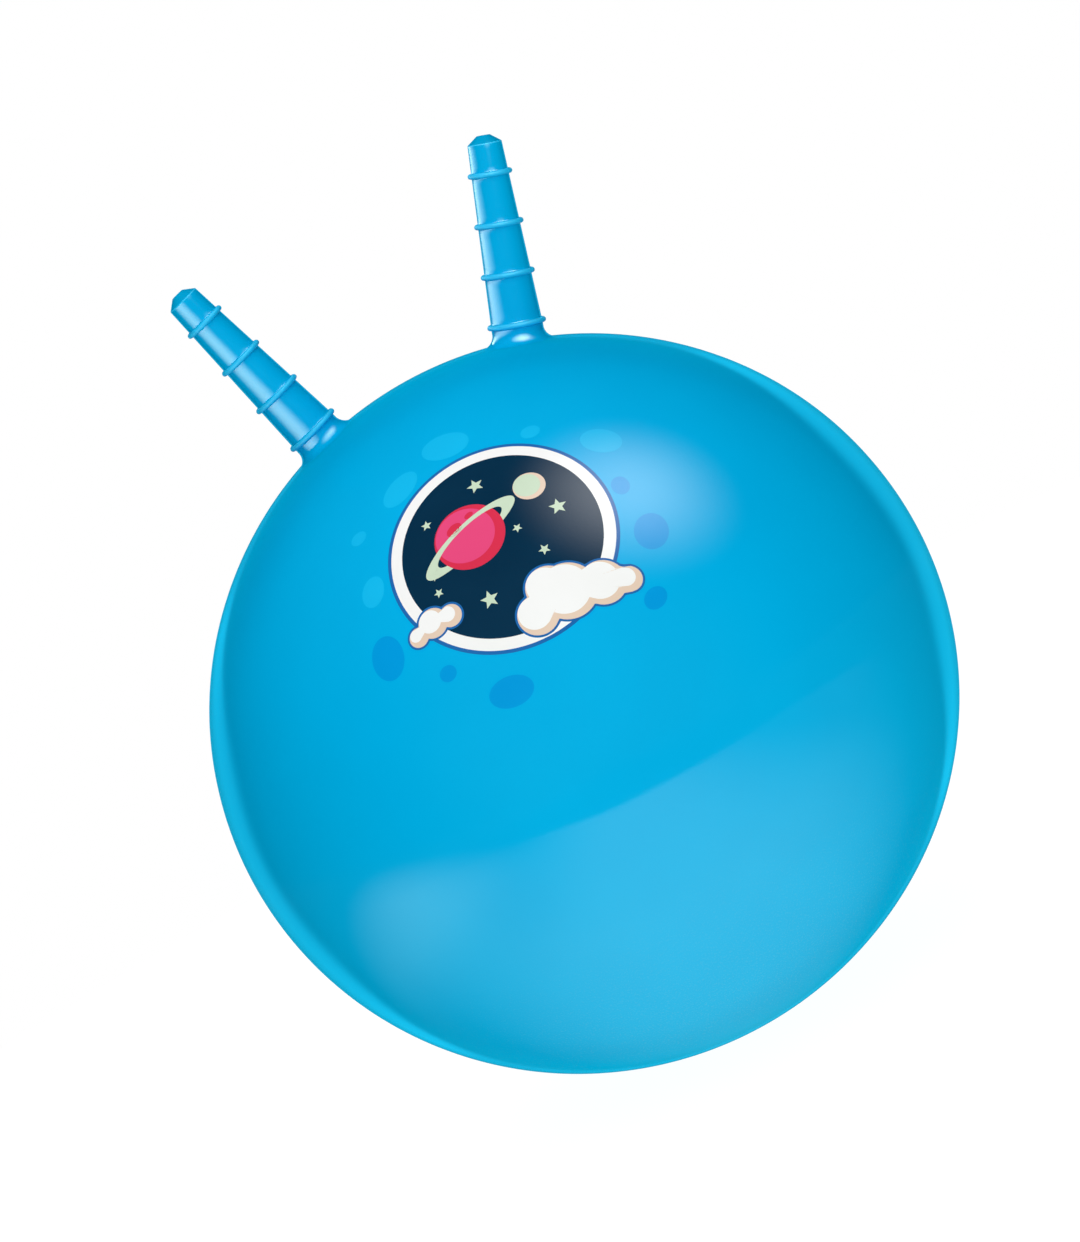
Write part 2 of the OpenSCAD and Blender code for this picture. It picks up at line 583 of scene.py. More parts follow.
class Paint(Enum):
    """The finishes of this ball, by what wears them."""

    SKIN = Finish("glossy blue vinyl", (0.0, 0.43, 0.80), (0.0, 0.415, 0.78))
    # The lighter blue of the ribs and of the tip's edge is a painted highlight on the same vinyl as the
    # skin; their satin roughness is real.
    RIB = Finish(
        "satin blue vinyl with painted highlight",
        (0.0, 0.50, 0.87),
        (0.0, 0.49, 0.85),
        gloss_roughness=0.55,
        rubbed_roughness=0.6,
        specular=0.22,
    )
    # The tip's darker blue is painted shade: the same vinyl as the skin, darkened where the tip faces away
    # from the light.
    TIP = Finish("blue vinyl with painted shade", (0.0, 0.35, 0.64), (0.0, 0.34, 0.625), specular=0.3)
    SEAT = Finish(
        "thick blue vinyl",
        (0.0, 0.33, 0.66),
        (0.0, 0.30, 0.62),
        gloss_roughness=0.3,
        rubbed_roughness=0.36,
        dust_share=0.3,
        dust_top=0.5,
    )
    PLUG = Finish(
        "milky plug plastic",
        (0.80, 0.82, 0.82),
        (0.72, 0.75, 0.76),
        gloss_roughness=0.36,
        rubbed_roughness=0.42,
        dust_share=0.25,
        dust_top=0.5,
    )
    NAVY = ink("navy ink", (0.002, 0.026, 0.062), (0.003, 0.031, 0.072))
    LINE = ink("outline ink", (0.013, 0.127, 0.40), (0.016, 0.14, 0.43))
    WHITE = ink("white ink", (0.93, 0.93, 0.93), (0.90, 0.90, 0.89))
    SHADE = ink("beige ink", (0.80, 0.62, 0.49), (0.77, 0.59, 0.46))
    CREAM = ink("pale green ink", (0.60, 0.73, 0.56), (0.57, 0.70, 0.53))
    PINK = ink("pink ink", (0.80, 0.07, 0.21), (0.76, 0.062, 0.195))
    RED = ink("red ink", (0.70, 0.032, 0.08), (0.66, 0.028, 0.07))
    LIGHT_SPOT = ink("light blue ink", (0.006, 0.50, 0.86), (0.006, 0.48, 0.84))
    DARK_SPOT = ink("deep blue ink", (0.0, 0.33, 0.75), (0.0, 0.31, 0.72))

    def material(self) -> bpy.types.Material:
        """Gives the finish's material, built at its first use."""
        return bpy.data.materials.get(self.value.name) or self.value.material()


# The ball

TO_BACK = Matrix.Rotation(math.radians(-90), 4, "X")


@dataclass(frozen=True)
class Spheroid:
    """The round form of the blown-up ball: half its width, half its height, and its middle."""

    wide: float
    high: float
    centre_z: float

    @classmethod
    def of_frame(cls, foot_radius: float, inset: float) -> "Spheroid":
        """Reads the ball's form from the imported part.

        Args:
            foot_radius: Radius of the flat patch that the ball rests on.
            inset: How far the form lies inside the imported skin.

        Returns:
            The form.
        """
        low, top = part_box("ball_skin")
        wide = min(-low.x, top.x, -low.y)
        level = math.sqrt(1 - (foot_radius / wide) ** 2)
        high = top.z / (1 + level)
        return cls(wide - inset, high - inset, high * level)

    def middle(self) -> Vector:
        """Gives the middle of the ball."""
        return Vector((0.0, 0.0, self.centre_z))

    def valve_axis(self) -> Matrix:
        """Turns +Z to the back of the ball and puts the origin at its middle."""
        return Matrix.Translation(self.middle()) @ TO_BACK

    def at(self, direction: Vector, lift: float) -> Vector:
        """Gives the point of the surface in a direction from the middle.

        Args:
            direction: A unit vector, measured on the round ball before it is flattened.
            lift: Height above the surface.

        Returns:
            The point.
        """
        wide, high = self.wide + lift, self.high + lift
        return Vector((wide * direction.x, wide * direction.y, self.centre_z + high * direction.z))

    def height_over(self, start: Vector, along: Vector) -> float:
        """Measures from a point to the surface.

        Args:
            start: The point.
            along: Unit vector to measure along.

        Returns:
            The distance, which is below 0 if the surface lies the other way.
        """
        scale = Vector((1 / self.wide, 1 / self.wide, 1 / self.high))
        near = (start - self.middle()) * scale
        step = along * scale
        a, b, c = step.dot(step), 2 * near.dot(step), near.dot(near) - 1
        return (-b + math.sqrt(b * b - 4 * a * c)) / (2 * a)


@dataclass
class BallShell:
    """The blown-up skin: one hollow moulding, open at the valve and under the horns.

    The even rings keep clear of the parting line by a share of its half width. It has finer
    rings of its own, to either side of its middle.
    """

    skin: float = 1.4 * MM
    foot_radius: float = 35 * MM
    foot_rounding: float = 0.8 * MM
    seam_height: float = 0.15 * MM
    seam_half_width: float = 0.9 * MM
    seam_clear: float = 1.5
    seam_rings: int = 4
    calm_radius: float = 80 * MM
    air_opening: float = 13 * MM
    opening_depth: float = 20 * MM
    opening_sides: int = 64
    sides: int = 256
    rings: int = 144
    inner_rings: int = 60
    form: Spheroid = field(init=False)
    hole_radius: float = field(init=False)

    def __post_init__(self) -> None:
        """Takes the ball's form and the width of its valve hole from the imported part."""
        self.form = Spheroid.of_frame(self.foot_radius, self.seam_height)
        low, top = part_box("valve_seat")
        self.hole_radius = (top.x - low.x) / 2

    def _seam(self, y: float) -> float:
        """Height of the moulding's parting line over the skin, at y from its plane."""
        if abs(y) >= self.seam_half_width:
            return 0.0
        return self.seam_height * math.cos(y / self.seam_half_width * math.pi / 2) ** 2

    def _outline(self) -> list[Point]:
        """Draws the wall of the ball, from its front round the outside to the hole and back inside."""
        wide = self.form.wide
        last = math.pi - math.asin(self.hole_radius / wide)
        seam = self.seam_half_width / wide
        even = [last * k / self.rings for k in range(self.rings + 1)]
        turns = [t for t in even if abs(t - math.pi / 2) > self.seam_clear * seam]
        fine = range(-self.seam_rings, self.seam_rings + 1)
        turns += [math.pi / 2 + seam * k / self.seam_rings for k in fine]
        outer = []
        for t in sorted(turns):
            y = -wide * math.cos(t)
            outer.append((wide * math.sin(t) + self._seam(y), y))
        within = wide - self.skin
        end = math.pi - math.asin(self.hole_radius / within)
        inner = [end * k / self.inner_rings for k in range(self.inner_rings, -1, -1)]
        return outer + [(within * math.sin(t), -within * math.cos(t)) for t in inner]

    def _settle(self, at: Vector) -> Vector:
        """Flattens the turned ball a little, keeps its valve hole round and rests it on the floor.

        Args:
            at: A point of the ball as it was turned, round its own middle.

        Returns:
            Where the point lies.
        """
        inside = at.length < self.form.wide - self.skin / 2
        wall = self.skin if inside else 0.0
        wide, high = self.form.wide - wall, self.form.high - wall
        x, y, z = at.x, at.y, at.z
        across = math.hypot(x, z)
        if y > 0 and across < self.calm_radius:
            z *= 1 + (high / wide - 1) * smooth_step(self.hole_radius, self.calm_radius, across)
            y = wide * math.sqrt(1 - (x / wide) ** 2 - (z / high) ** 2)
        else:
            z *= high / wide
        return Vector((x, y, soft_max(z + self.form.centre_z, wall, self.foot_rounding)))

    def build(self, horns: Sequence["Horn"]) -> bpy.types.Object:
        """Models the shell.

        Args:
            horns: The horns that it opens into.

        Returns:
            The shell.
        """
        piece = turned("ball_shell", self._outline(), self.sides)
        piece.data.transform(TO_BACK)
        reshape(piece, self._settle)
        for horn in horns:
            deselect_all()
            bpy.ops.mesh.primitive_cylinder_add(
                vertices=self.opening_sides, radius=self.air_opening, depth=self.opening_depth
            )
            cutter = bpy.context.object
            cutter.data.transform(horn.stand())
            cut_by(piece, cutter)
        smoothed(piece)
        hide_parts("ball_skin")
        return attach(piece, "ball")


# The horns


class Side(Enum):
    """The side that a horn is on, as seen from the front."""

    LEFT = "left"
    RIGHT = "right"


@dataclass
class Horn:
    """A hollow ribbed horn, with the flange of skin that it grows out of.

    The foot is where the fillet meets the ball. The wall under it is a share of the flange's, and
    the horn is laid on the ball in full from a share of the fillet outward.
    """

    side: Side
    ball: Spheroid
    reach: float = 123.2 * MM
    root_radius: float = 15.85 * MM
    tip_radius: float = 10.25 * MM
    flat_radius: float = 4 * MM
    flat_rounding: float = 0.7 * MM
    chamfer: float = 4.7 * MM
    chamfer_rounding: float = 0.9 * MM
    wall: float = 2.4 * MM
    ribs: int = 4
    first_rib: float = 22.8 * MM
    rib_pitch: float = 30 * MM
    rib_radius: float = 1.6 * MM
    rib_proud: float = 2.3 * MM
    rib_fillet: float = 0.5 * MM
    root_fillet: float = 7.5 * MM
    flange_radius: float = 34 * MM
    flange_wall: float = 0.9 * MM
    flange_dip: float = 0.07 * MM
    flange_rings: int = 8
    foot_wall_share: float = 1.4
    foot_reach_share: float = 0.85
    bore_rounding: float = 2 * MM
    bend_length: float = 34 * MM
    edge_highlight_band: float = 1.1 * MM
    sides: int = 96
    longest: float = 3 * MM
    rib_steps: int = 12
    rib_fillet_steps: int = 4
    fillet_steps: int = 16
    sharp_degrees: float = 50.0
    root: Vector = field(init=False)
    along: Vector = field(init=False)

    def __post_init__(self) -> None:
        """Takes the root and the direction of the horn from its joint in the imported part."""
        joint = next(j for j in frame["joints"] if j["name"] == f"{self.side.value}_horn_flex")
        self.root = Vector(joint["pos_m"])
        self.along = Vector((-joint["axis"][2], 0.0, joint["axis"][0])).normalized()

    def stand(self) -> Matrix:
        """Gives the horn's own frame, with its root at the origin and +Z along the horn."""
        turn = Vector((0.0, 0.0, 1.0)).rotation_difference(self.along)
        return Matrix.Translation(self.root) @ turn.to_matrix().to_4x4()

    def _grip(self, z: float) -> float:
        """Radius of the plain grip at a height."""
        return self.root_radius + (self.tip_radius - self.root_radius) * z / (self.reach - self.chamfer)

    def _round_radius(self) -> float:
        """Distance from the middle of the ball to the root of the horn."""
        return (self.root - self.ball.middle()).length

    def _on_ball(self, r: float) -> float:
        """Height of a round ball's surface at a distance from the horn's axis."""
        far = self._round_radius()
        return math.sqrt(far**2 - r**2) - far

    def _rib(self, z: float) -> list[Corner]:
        """Draws one rib with its two small fillets, from its tip side to its root side."""
        fillet, steps = self.rib_fillet, self.rib_fillet_steps
        middle = self.rib_proud - self.rib_radius
        out = fillet - middle
        rise = math.sqrt((self.rib_radius + fillet) ** 2 - out**2)
        lean = math.degrees(math.atan2(rise, out))
        flat = (
            arc((fillet, z + rise), fillet, 180, 180 + lean, steps)
            + arc((middle, z), self.rib_radius, lean, -lean, self.rib_steps)
            + arc((fillet, z - rise), fillet, 180 - lean, 180, steps)
        )
        return [Corner(self._grip(c.z) + c.r, c.z) for c in flat]

    def _outline(self) -> list[Point]:
        """Draws the wall of the horn, from its tip down the outside, round the flange and up inside."""
        shoulder = self.reach - self.chamfer
        corners = [
            Corner(0.0, self.reach),
            Corner(self.flat_radius, self.reach, self.flat_rounding),
            Corner(self.tip_radius, shoulder, self.chamfer_rounding),
        ]
        for k in range(self.ribs):
            corners += self._rib(self.reach - self.first_rib - k * self.rib_pitch)
        far = self._round_radius()
        fillet_r = self._grip(corners[-1].z) + self.root_fillet
        fillet_z = math.sqrt((far + self.root_fillet) ** 2 - fillet_r**2) - far
        toward_ball = 180 + math.degrees(math.atan2(far + fillet_z, fillet_r))
        corners += arc((fillet_r, fillet_z), self.root_fillet, 180, toward_ball, self.fillet_steps)
        foot = corners[-1].r
        for k in range(1, self.flange_rings + 1):
            share = k / self.flange_rings
            r = foot + (self.flange_radius - foot) * share
            corners.append(Corner(r, self._on_ball(r) - self.flange_dip * share))
        rim = corners[-1]
        bore = self.root_radius - self.wall
        corners += [
            Corner(rim.r, rim.z - self.flange_wall),
            Corner(foot, self._on_ball(foot) - self.foot_wall_share * self.flange_wall),
            Corner(bore, self._on_ball(bore) - self.flange_wall, self.bore_rounding),
            Corner(self._grip(shoulder) - self.wall, shoulder - self.wall / 2),
            Corner(self.flat_radius - self.wall / 2, self.reach - self.wall),
            Corner(0.0, self.reach - self.wall),
        ]
        return split_long(rounded(corners), self.longest)

    def _seat(self, at: Vector) -> Vector:
        """Lowers or lifts the flange onto the ball, which isn't quite round.

        Args:
            at: A point of the turned horn, in the horn's own frame.

        Returns:
            The point with its height corrected.
        """
        r = math.hypot(at.x, at.y)
        foot = self.root_radius + self.root_fillet * self.foot_reach_share
        share = smooth_step(self.root_radius, foot, r)
        if share > 0:
            base = self.stand() @ Vector((at.x, at.y, 0.0))
            at.z += share * (self.ball.height_over(base, self.along) - self._on_ball(r))
        return at

    def _dress_ribs(self, piece: bpy.types.Object) -> None:
        """Gives the ribs and the edge of the tip a satin finish in a lighter blue, which is a painted
        highlight, and the tip above that edge a darker blue, which is painted shade.

        Args:
            piece: The horn, at its place.
        """
        slots = piece.data.materials
        lit_rib_slot, shaded_tip_slot = len(slots), len(slots) + 1
        for paint in (Paint.RIB, Paint.TIP):
            slots.append(paint.material())
        home = self.stand().inverted()
        lowest = self.reach - self.first_rib - (self.ribs - 1) * self.rib_pitch - 2 * self.rib_radius
        shoulder = self.reach - self.chamfer
        for face in piece.data.polygons:
            at = home @ face.center
            out = math.hypot(at.x, at.y) - self._grip(at.z)
            rib = at.z > lowest and out > self.rib_fillet
            edge = abs(at.z - shoulder) < self.edge_highlight_band / 2 and out > -self.edge_highlight_band
            # Ribs and the tip's edge take the painted highlight; the rest of the tip above the edge takes
            # painted shade.
            if rib or edge:
                face.material_index = lit_rib_slot
            elif at.z > shoulder:
                face.material_index = shaded_tip_slot

    def build(self) -> bpy.types.Object:
        """Models the horn.

        Returns:
            The horn.
        """
        name = self.side.value
        piece = turned(f"{name}_horn_skin", self._outline(), self.sides)
        reshape(piece, self._seat)
        piece.data.transform(self.stand())
        smoothed(piece, self.sharp_degrees)
        # As in the photograph, the ball doesn't mirror the horns.
        piece.visible_glossy = False
        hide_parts(f"{name}_horn")
        dress(piece, Paint.SKIN.material())
        self._dress_ribs(piece)
        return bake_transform(piece)


# The valve


@dataclass
class ValveSeat:
    """The thick moulded disc that closes the hole in the skin, with its nozzle and dish."""

    ball: Spheroid
    gap: float = 0.12 * MM
    rim_wall: float = 2.6 * MM
    middle_wall: float = 6 * MM
    nozzle_radius: float = 7.5 * MM
    nozzle_length: float = 12 * MM
    bore_radius: float = 4 * MM
    dish_radius: float = 14 * MM
    dish_floor_radius: float = 9.5 * MM
    dish_depth: float = 2.8 * MM
    rounding: float = 0.45 * MM
    longest: float = 2 * MM
    sides: int = 128

    def build(self) -> bpy.types.Object:
        """Models the seat.

        Returns:
            The seat.
        """
        low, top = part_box("valve_seat")
        radius = (top.x - low.x) / 2 - self.gap
        back = self.ball.wide

        def skin(r: float) -> float:
            """Distance of the ball's skin from its middle plane, at r from the valve's axis."""
            return math.sqrt(back**2 - r**2)

        middle = back - self.middle_wall
        dish = back - self.dish_depth
        end = middle - self.nozzle_length
        between = (radius + self.dish_radius) / 2
        corners = [
            Corner(self.bore_radius, (dish + end) / 2),
            Corner(self.bore_radius, end, self.rounding),
            Corner(self.nozzle_radius, end, 2 * self.rounding),
            Corner(self.nozzle_radius, middle, 2 * self.rounding),
            Corner(radius, back - self.rim_wall, self.rounding),
            Corner(radius, skin(radius), self.rounding),
            Corner(between, skin(between)),
            Corner(self.dish_radius, skin(self.dish_radius), self.rounding),
            Corner(self.dish_floor_radius, dish, 2 * self.rounding),
            Corner(self.bore_radius, dish, self.rounding),
            Corner(self.bore_radius, (dish + end) / 2),
        ]
        outline = split_long(rounded(corners), self.longest)
        piece = turned("valve_seat_moulding", outline, self.sides)
        piece.data.transform(self.ball.valve_axis())
        smoothed(piece)
        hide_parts("valve_seat")
        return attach(piece, "ball")


@dataclass
class Plug:
    """The stopper: a flat head with a finger groove, and a barbed stem that is hollow below."""

    ball: Spheroid
    head_radius: float = 9 * MM
    head_wall: float = 2.2 * MM
    head_rounding: float = 0.6 * MM
    groove_radius: float = 6.2 * MM
    groove_width: float = 1.2 * MM
    groove_depth: float = 0.35 * MM
    stem_length: float = 17 * MM
    stem_radius: float = 3.25 * MM
    barbs: int = 3
    barb_length: float = 2.6 * MM
    barb_radius: float = 3.85 * MM
    lead_in: float = 1.2 * MM
    hollow_radius: float = 1.6 * MM
    hollow_depth: float = 11 * MM
    rounding: float = 0.3 * MM
    barb_rounding: float = 0.2 * MM
    sides: int = 96
    sharp_degrees: float = 35.0

    def build(self) -> bpy.types.Object:
        """Models the plug.

        Returns:
            The plug.
        """
        head_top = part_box("valve_plug")[1].y
        under = head_top - self.head_wall
        end = under - self.stem_length
        pitch = (self.stem_length - self.lead_in - self.barb_length) / self.barbs
        corners = [
            Corner(0.0, head_top),
            Corner(self.groove_radius - self.groove_width / 2, head_top, self.rounding),
            Corner(self.groove_radius, head_top - self.groove_depth, self.rounding),
            Corner(self.groove_radius + self.groove_width / 2, head_top, self.rounding),
            Corner(self.head_radius, head_top, self.head_rounding),
            Corner(self.head_radius, under, self.rounding),
            Corner(self.stem_radius, under, self.rounding),
        ]
        for k in reversed(range(self.barbs)):
            foot = end + self.lead_in + k * pitch
            for r, z in (
                (self.stem_radius, foot + self.barb_length),
                (self.barb_radius, foot + self.barb_length),
                (self.stem_radius, foot),
            ):
                corners.append(Corner(r, z, self.barb_rounding))
        corners += [
            Corner(self.stem_radius - self.lead_in, end, self.rounding),
            Corner(self.hollow_radius, end, self.rounding),
            Corner(self.hollow_radius, end + self.hollow_depth, self.rounding),
            Corner(0.0, end + self.hollow_depth),
        ]
        piece = turned("plug_moulding", rounded(corners), self.sides)
        piece.data.transform(self.ball.valve_axis())
        smoothed(piece, self.sharp_degrees)
        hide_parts("valve_plug")
        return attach(piece, "plug")


# The print

# The distance in metres from a motif's middle to its edge, by the angle from its right.
Outline = Callable[[float], float]


def round_outline(radius: float) -> Outline:
    """An outline that is as far from its middle all round, at a radius in millimetres."""
    return lambda angle: radius * MM


def star_outline(tip: float, notch: float, points: int = 5) -> Outline:
    """The straight-sided outline of a star.

    Args:
        tip: Distance from the middle to a point, in millimetres.
        notch: Distance from the middle to an inner corner, in millimetres.
        points: Number of points.

    Returns:
        The outline, with a point straight up.
    """
    half = math.pi / points
    a = Vector((tip * MM, 0.0))
    side = Vector((notch * MM * math.cos(half), notch * MM * math.sin(half))) - a

    def radius(angle: float) -> float:
        """Distance from the middle to the star's side."""
        turn = (angle - math.pi / 2) % (2 * half)
        turn = min(turn, 2 * half - turn)
        ray = Vector((math.cos(turn), math.sin(turn)))
        return (a.x * side.y - a.y * side.x) / (ray.x * side.y - ray.y * side.x)

    return radius


def cloud_outline(lobes: Sequence[Triple], grow: float) -> Outline:
    """The outline round a heap of discs.

    Args:
        lobes: Middle and radius of each disc, in millimetres.
        grow: How much larger each disc is, in millimetres.

    Returns:
        The outline.
    """
    discs = [(x * MM, y * MM, size * MM + grow * MM) for x, y, size in lobes]

    def radius(angle: float) -> float:
        """Distance from the middle to the far side of the last disc that way."""
        ray = Vector((math.cos(angle), math.sin(angle)))
        best = 0.0
        for x, y, size in discs:
            along = ray.dot(Vector((x, y)))
            aside = size**2 - (x * x + y * y - along * along)
            if aside > 0:
                best = max(best, along + math.sqrt(aside))
        return best

    return radius


@dataclass(frozen=True)
class Motif:
    """One flat patch of ink: its outline, its place on the sheet and the layer that it is in.

    The place is in millimetres, and turn, start and sweep are in degrees. hole is a share of the
    outline.
    """

    name: str
    paint: Paint
    layer: int
    outline: Outline
    place: Point = (0.0, 0.0)
    stretch: Point = (1.0, 1.0)
    turn: float = 0.0
    hole: float = 0.0
    start: float = 0.0
    sweep: float = 360.0
    steps: int = 96
    rings: int = 8


@dataclass
class Print:
    """The printed badge of a night sky, with loose spots of blue round it.

    It is laid out on a flat sheet in millimetres, from the radius of the badge on.
    """

    ball: Spheroid
    latitude: float = 37.0
    first_lift: float = 0.018 * MM
    layer_lift: float = 0.014 * MM
    sunk: float = 0.15 * MM
    badge: float = 66.0
    border: float = 7.0
    line: float = 2.2
    overlap: float = 1.0
    cloud_line: float = 1.3
    cloud_shade: float = 2.2
    cloud_raise: Point = (-1.2, 1.8)
    star_notch: float = 0.44

    def _wrap(self, u: float, v: float, lift: float) -> Vector:
        """Lays a point of the flat sheet on the ball.

        Args:
            u: Distance to the right of the sheet's middle.
            v: Distance above it.
            lift: Height above the skin.

        Returns:
            The point.
        """
        rise = math.radians(self.latitude)
        out = Vector((0.0, -math.cos(rise), math.sin(rise)))
        up = Vector((0.0, math.sin(rise), math.cos(rise)))
        far = math.hypot(u, v)
        if far < WELD:
            return self.ball.at(out, lift)
        turn = far / self.ball.wide
        way = (Vector((1.0, 0.0, 0.0)) * u + up * v) / far
        return self.ball.at(out * math.cos(turn) + way * math.sin(turn), lift)

    def _patch(self, motif: Motif) -> bpy.types.Object:
        """Models one motif as a thin closed patch on the skin.

        Args:
            motif: What to print.

        Returns:
            The patch.
        """
        rims = [motif.hole + (1 - motif.hole) * k / motif.rings for k in range(motif.rings + 1)]
        piece = turned(motif.name, [(r, 0.0) for r in rims], motif.steps, math.radians(motif.sweep))
        lift = self.first_lift + self.layer_lift * motif.layer
        turn = math.radians(motif.turn)
        first = math.radians(motif.start)

        def lay(at: Vector) -> Vector:
            """Takes a point of the unit disc to its place on the ball."""
            angle = math.atan2(at.y, at.x) + first
            far = math.hypot(at.x, at.y) * motif.outline(angle)
            x = far * math.cos(angle) * motif.stretch[0]
            y = far * math.sin(angle) * motif.stretch[1]
            u = motif.place[0] * MM + x * math.cos(turn) - y * math.sin(turn)
            v = motif.place[1] * MM + x * math.sin(turn) + y * math.cos(turn)
            return self._wrap(u, v, lift)

        reshape(piece, lay)
        pick(piece)
        face = piece.data.polygons[0]
        if face.normal.dot(face.center - self.ball.middle()) < 0:
            bpy.ops.object.mode_set(mode="EDIT")
            bpy.ops.mesh.select_all(action="SELECT")
            bpy.ops.mesh.flip_normals()
            bpy.ops.object.mode_set(mode="OBJECT")
        wall = piece.modifiers.new("ink", "SOLIDIFY")
        wall.thickness = lift + self.sunk
        wall.offset = -1.0
        bpy.ops.object.modifier_apply(modifier=wall.name)
        smoothed(piece)
        dress(piece, motif.paint.material())
        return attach(piece, "ball")

    def _badge_motifs(self) -> list[Motif]:
        """Lays out the round badge: sky, border and outline."""
        inner, outer = self.badge - self.border, self.badge + self.line
        sky = round_outline(inner + self.overlap)
        line = {"outline": round_outline(outer), "hole": (self.badge - self.overlap) / outer, "rings": 2}
        border = {"outline": round_outline(self.badge), "hole": inner / self.badge, "rings": 3}
        return [
            Motif("print_sky", Paint.NAVY, 0, sky, rings=18, steps=128),
            Motif("print_outline", Paint.LINE, 0, steps=128, **line),
            Motif("print_border", Paint.WHITE, 1, steps=128, **border),
        ]

    def _planet_motifs(self) -> list[Motif]:
        """Lays out the planet with its ring."""
        place = (-14, 12)
        ring = {"place": place, "outline": round_outline(34), "stretch": (1.0, 0.27), "turn": 18.0}
        half = {"hole": 0.72, "sweep": 180.0, "rings": 4}
        # Place, radius, stretch and turn of each storm, with its rings and steps.
        storms = (((-20, 21), 3.4, 1.5, 20.0, 3, 48), ((-9, 25), 1.8, 1.6, 15.0, 2, 32))
        motifs = [
            Motif("print_ring_far", Paint.CREAM, 2, **ring, **half),
            Motif("print_planet_shade", Paint.RED, 3, round_outline(21), place),
            Motif("print_planet", Paint.PINK, 4, round_outline(17.6), (-16, 14)),
            Motif("print_ring_near", Paint.CREAM, 5, start=180.0, **ring, **half),
        ]
        for number, (at, size, long, turn, rings, steps) in enumerate(storms, 1):
            shape = {"stretch": (long, 1.0), "turn": turn, "rings": rings, "steps": steps}
            motifs.append(Motif(f"print_storm_{number}", Paint.RED, 5, round_outline(size), at, **shape))
        return motifs

    def _cloud_motifs(self) -> list[Motif]:
        """Lays out the two clouds, each with its outline and its shade."""
        # Place and radius of each round of a cloud.
        large = ((0, 0, 17), (-21, -5, 12), (20, -4, 13.5), (-9, 7, 13), (34, -8, 8))
        small = ((0, 0, 9), (-11, -2.5, 6), (11, -2, 6.8))
        motifs = []
        for name, place, lobes in (("low", (21, -47), large), ("side", (-55, -24), small)):
            raised = (place[0] + self.cloud_raise[0], place[1] + self.cloud_raise[1])
            for part, paint, layer, at, grow in (
                ("_line", Paint.LINE, 2, place, self.cloud_line),
                ("_shade", Paint.SHADE, 3, place, 0.0),
                ("", Paint.WHITE, 4, raised, -self.cloud_shade),
            ):
                outline = cloud_outline(lobes, grow)
                motifs.append(
                    Motif(f"print_cloud_{name}{part}", paint, layer, outline, at, steps=180, rings=16)
                )
        return motifs

    def _star_motifs(self) -> list[Motif]:
        """Lays out the moon and the stars."""
        disc = {"rings": 4, "steps": 64}
        motifs = [
            Motif("print_moon_shade", Paint.SHADE, 2, round_outline(9.5), (29, 25), **disc),
            Motif("print_moon", Paint.CREAM, 3, round_outline(7.9), (27.9, 26.1), **disc),
        ]
        # Place, size and turn of each star.
        stars = (
            (-41, 2, 4.6, 8),
            (-33, 34, 3.4, -12),
            (2, 42, 5.2, 5),
            (38, 4, 5.4, -8),
            (12, 2, 3.0, 20),
            (-44, -10, 3.0, 10),
            (-20, -30, 5.6, -6),
            (20, -18, 3.6, 14),
        )
        for number, (x, y, size, turn) in enumerate(stars, 1):
            outline = star_outline(size, self.star_notch * size)
            shape = {"turn": turn, "rings": 3, "steps": 40}
            motifs.append(Motif(f"print_star_{number}", Paint.CREAM, 2, outline, (x, y), **shape))
        return motifs

    def _spot_motifs(self) -> list[Motif]:
        """Lays out the loose spots round the badge, lighter above and darker below."""
        # Bearing and distance from the badge's middle, radius, stretch and turn of each spot.
        light = (
            (92, 84, 11.0, 1.35, -20),
            (55, 78, 5.0, 1.2, 10),
            (118, 80, 9.0, 1.5, 30),
            (142, 92, 4.5, 1.2, 0),
            (26, 88, 9.5, 1.3, -35),
            (168, 80, 7.5, 1.3, 60),
        )
        dark = (
            (196, 92, 10.5, 1.3, 80),
            (222, 82, 4.8, 1.1, 0),
            (248, 90, 9.0, 1.5, -10),
            (338, 86, 10.0, 1.2, 60),
            (2, 76, 5.4, 1.2, 80),
            (312, 96, 6.0, 1.3, 30),
        )
        motifs = []
        for number, (bearing, far, size, long, turn) in enumerate(light + dark, 1):
            paint = Paint.LIGHT_SPOT if number <= len(light) else Paint.DARK_SPOT
            way = math.radians(bearing)
            place = (far * math.cos(way), far * math.sin(way))
            shape = {"stretch": (long, 1.0), "turn": turn, "rings": 5, "steps": 64}
            motifs.append(Motif(f"print_spot_{number}", paint, 0, round_outline(size), place, **shape))
        return motifs

    def build(self) -> list[bpy.types.Object]:
        """Models every patch of the print.

        Returns:
            The patches.
        """
        motifs = (
            self._badge_motifs()
            + self._planet_motifs()
            + self._cloud_motifs()
            + self._star_motifs()
            + self._spot_motifs()
        )
        return [self._patch(motif) for motif in motifs]


# The studio


